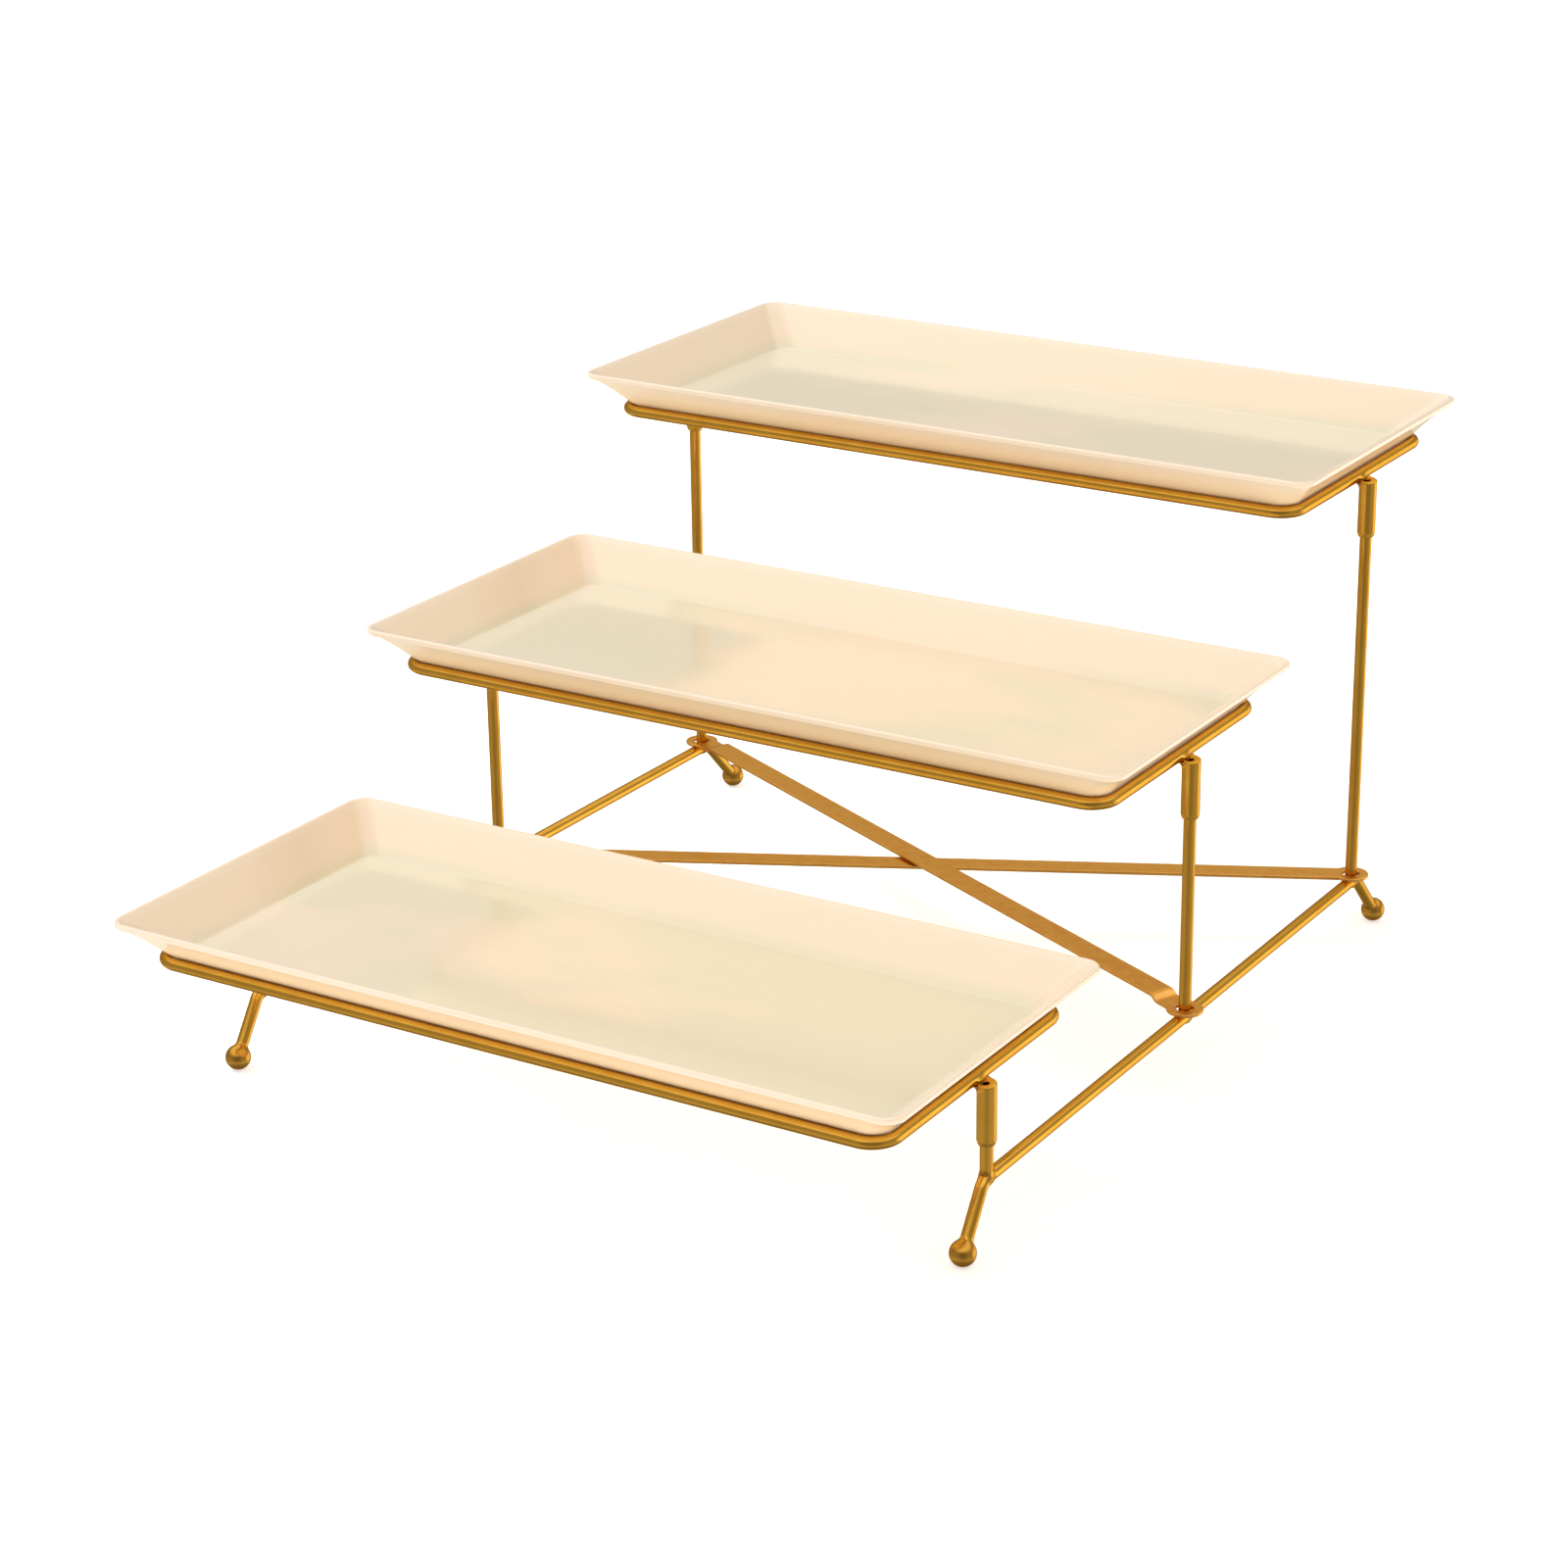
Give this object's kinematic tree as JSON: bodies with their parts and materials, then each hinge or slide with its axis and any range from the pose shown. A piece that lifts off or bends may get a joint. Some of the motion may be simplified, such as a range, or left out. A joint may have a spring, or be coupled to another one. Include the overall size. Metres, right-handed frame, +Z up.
{
  "type": "tiered serving stand",
  "caption": "Stepped wire serving stand: a folding-type base on ball feet with crossed flat bars, lift-off rectangular holders and shallow glazed platters.",
  "frame": {"origin": "on the table, under the middle of the middle tier", "axes": "+Z up, the tiers rise and step back towards +Y, the platters' long side along X"},
  "size_m": [0.305, 0.421, 0.198],
  "materials": {
    "gold_wire": "satin gold lacquer on steel wire and tube",
    "gold_bar": "duller gold lacquer on flat steel bar",
    "cream_glaze": "glossy cream glaze"
  },
  "bodies": {
    "base": {"left_rail": "gold_wire", "right_rail": "gold_wire", "left_front_post": "gold_wire", "right_front_post": "gold_wire", "left_middle_post": "gold_wire", "right_middle_post": "gold_wire", "left_rear_post": "gold_wire", "right_rear_post": "gold_wire", "left_front_foot": "gold_wire", "right_front_foot": "gold_wire", "left_rear_foot": "gold_wire", "right_rear_foot": "gold_wire", "upper_crossbar": "gold_bar", "lower_crossbar": "gold_bar"},
    "front_holder": {"front_ring": "gold_wire", "front_left_socket": "gold_wire", "front_right_socket": "gold_wire"},
    "middle_holder": {"middle_ring": "gold_wire", "middle_left_socket": "gold_wire", "middle_right_socket": "gold_wire"},
    "top_holder": {"top_ring": "gold_wire", "top_left_socket": "gold_wire", "top_right_socket": "gold_wire"},
    "front_plate": {"front_platter": "cream_glaze"},
    "middle_plate": {"middle_platter": "cream_glaze"},
    "top_plate": {"top_platter": "cream_glaze"}
  },
  "joints": [
    {"name": "front_holder_lift", "type": "slide", "parent": "base", "child": "front_holder", "axis": [0, 0, 1], "range_m": [0, 0.03]},
    {"name": "middle_holder_lift", "type": "slide", "parent": "base", "child": "middle_holder", "axis": [0, 0, 1], "range_m": [0, 0.03]},
    {"name": "top_holder_lift", "type": "slide", "parent": "base", "child": "top_holder", "axis": [0, 0, 1], "range_m": [0, 0.03]},
    {"name": "front_platter_lift", "type": "slide", "parent": "front_holder", "child": "front_plate", "axis": [0, 0, 1], "range_m": [0, 0.06]},
    {"name": "middle_platter_lift", "type": "slide", "parent": "middle_holder", "child": "middle_plate", "axis": [0, 0, 1], "range_m": [0, 0.06]},
    {"name": "top_platter_lift", "type": "slide", "parent": "top_holder", "child": "top_plate", "axis": [0, 0, 1], "range_m": [0, 0.06]}
  ]
}
